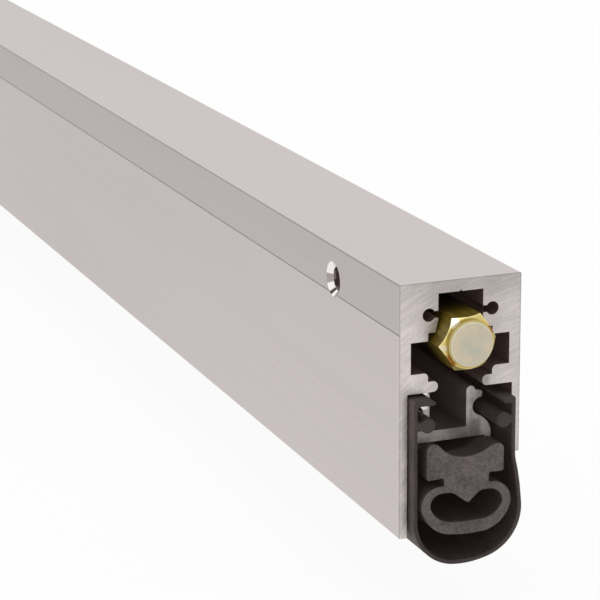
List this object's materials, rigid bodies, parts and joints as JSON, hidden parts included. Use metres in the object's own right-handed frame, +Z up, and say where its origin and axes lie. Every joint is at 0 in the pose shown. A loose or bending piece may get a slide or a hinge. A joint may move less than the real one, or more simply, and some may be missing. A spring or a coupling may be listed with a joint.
{
  "type": "automatic door bottom seal",
  "caption": "Long aluminium channel that hides a spring-lifted bar with a soft U-shaped seal; a brass striker pushed at one end lowers the seal to the floor.",
  "frame": {"origin": "centre of the housing's flat top face", "axes": "+X along the door towards the striker, +Y towards the door face it is screwed to, +Z up"},
  "size_m": [0.9218, 0.0222, 0.0496],
  "materials": {
    "housing_aluminium": "satin clear anodised extrusion",
    "bar_aluminium": "mill finish extrusion",
    "sleeve_rubber": "matt extruded rubber, charcoal",
    "insert_rubber": "matt extruded rubber, dark grey",
    "brass": "turned, bright",
    "button_nylon": "natural nylon, cream",
    "block_nylon": "moulded nylon, black",
    "rod_steel": "drawn, zinc plated",
    "spring_steel": "tempered strip",
    "rivet_aluminium": "plain"
  },
  "bodies": {
    "housing": {"housing": "housing_aluminium", "anchor_screws": "rod_steel", "anchor_block_1": "block_nylon", "anchor_block_2": "block_nylon", "anchor_pin_1": "rod_steel", "anchor_pin_2": "rod_steel"},
    "plunger": {"striker_nut": "brass", "striker_button": "button_nylon", "push_rod": "rod_steel", "link_rod": "rod_steel", "slider_block_1": "block_nylon", "slider_block_2": "block_nylon", "slider_pin_1": "rod_steel", "slider_pin_2": "rod_steel"},
    "drop_seal": {"drop_bar": "bar_aluminium", "seal_sleeve": "sleeve_rubber", "bulb_insert": "insert_rubber", "spring_saddle_1": "rod_steel", "spring_saddle_2": "rod_steel", "saddle_rivets": "rivet_aluminium", "bow_spring_1": "spring_steel", "bow_spring_2": "spring_steel"}
  },
  "joints": [
    {"name": "bar_drop", "type": "slide", "parent": "housing", "child": "drop_seal", "axis": [0, 0, -1], "range_m": [0, 0.011], "stiffness_N_per_m": 300, "springref_m": -0.04, "deforming": ["bow_spring_1", "bow_spring_2"]},
    {"name": "plunger_slide", "type": "slide", "parent": "housing", "child": "plunger", "axis": [-1, 0, 0], "range_m": [0, 0.0043]}
  ],
  "couplings": [
    {"joint": "plunger_slide", "follows": "bar_drop", "ratio": 0.39}
  ]
}
